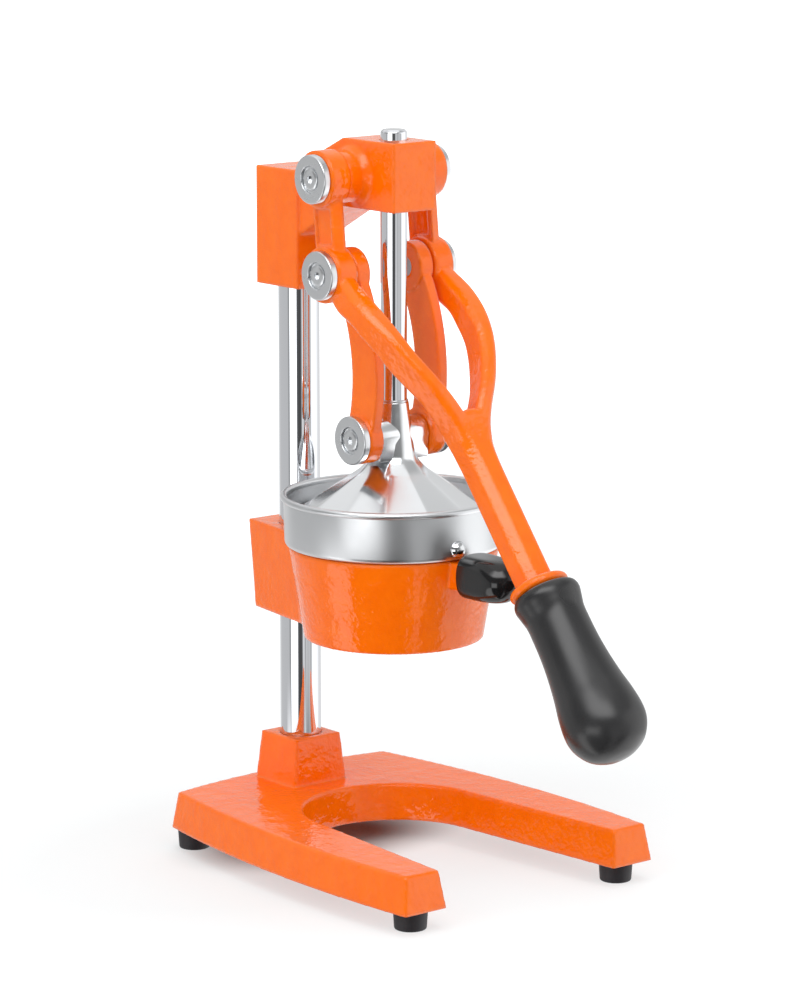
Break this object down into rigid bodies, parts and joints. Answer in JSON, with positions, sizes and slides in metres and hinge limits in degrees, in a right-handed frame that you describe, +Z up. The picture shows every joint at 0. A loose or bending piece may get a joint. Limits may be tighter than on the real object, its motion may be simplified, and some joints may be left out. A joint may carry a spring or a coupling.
{
  "type": "lever citrus juice press",
  "caption": "Bench-top lever press with a U-shaped cast base, a chrome post, a forked lever with bowed links, a fluted bell on a rod, and a strainer cup over a juice bowl.",
  "frame": {"origin": "on the floor, under the middle of the whole press with its lever down", "axes": "+Z up, -Y towards the user and the lever grip, +X to the right as the user sees it from the front"},
  "size_m": [0.168, 0.285, 0.3779],
  "materials": {
    "enamel": "gloss enamel over cast texture",
    "foot_rubber": "matt",
    "plated_steel": "zinc plated",
    "chrome_bar": "polished",
    "black_plastic": "gloss",
    "stainless_sheet": "satin",
    "polished_stainless": "polished",
    "polished_aluminium": "polished",
    "satin_steel": "satin",
    "cap_chrome": "satin face and polished rim",
    "black_rubber": "satin"
  },
  "bodies": {
    "frame": {"base_casting": "enamel", "foot_front_left": "foot_rubber", "foot_front_right": "foot_rubber", "foot_rear_left": "foot_rubber", "foot_rear_right": "foot_rubber", "foot_screws": "plated_steel", "post": "chrome_bar", "post_washer": "plated_steel", "post_bolt": "plated_steel", "holder_casting": "enamel", "holder_set_screw": "plated_steel", "front_grip": "black_plastic", "head_casting": "enamel", "head_set_screw": "plated_steel", "head_pivot_screws": "satin_steel", "head_pivot_caps": "cap_chrome"},
    "cup": {"strainer_cup": "stainless_sheet", "cup_rivet": "polished_stainless", "reamer_cone": "polished_aluminium"},
    "lever": {"lever_casting": "enamel", "lever_grip": "black_rubber", "lever_pivot_screws": "satin_steel", "lever_pivot_caps": "cap_chrome"},
    "press": {"press_bell": "polished_aluminium", "press_pivot_screws": "satin_steel", "press_pivot_caps": "cap_chrome", "rod_washer": "satin_steel", "press_rod": "chrome_bar"},
    "link_left": {"left_link": "enamel", "left_link_stud": "plated_steel"},
    "link_right": {"right_link": "enamel", "right_link_stud": "plated_steel"}
  },
  "joints": [
    {"name": "lever_raise", "type": "hinge", "parent": "frame", "child": "lever", "pos_m": [0, 0.05464, 0.3541], "axis": [-1, 0, 0], "range_deg": [0, 90]},
    {"name": "press_slide", "type": "slide", "parent": "frame", "child": "press", "axis": [0, 0, 1], "range_m": [0, 0.0581]},
    {"name": "left_link_turn", "type": "hinge", "parent": "press", "child": "link_left", "pos_m": [0, 0.03854, 0.2235], "axis": [1, 0, 0], "range_deg": [0, 29.8]},
    {"name": "right_link_turn", "type": "hinge", "parent": "press", "child": "link_right", "pos_m": [0, 0.03854, 0.2235], "axis": [1, 0, 0], "range_deg": [0, 29.8]},
    {"name": "cup_turn", "type": "hinge", "parent": "frame", "child": "cup", "pos_m": [0, 0.03854, 0.16], "axis": [0, 0, 1], "continuous": true}
  ],
  "couplings": [
    {"joint": "press_slide", "follows": "lever_raise", "m_per_rad": 0.036931},
    {"joint": "left_link_turn", "follows": "lever_raise", "ratio": 0.33011},
    {"joint": "right_link_turn", "follows": "lever_raise", "ratio": 0.33011}
  ]
}
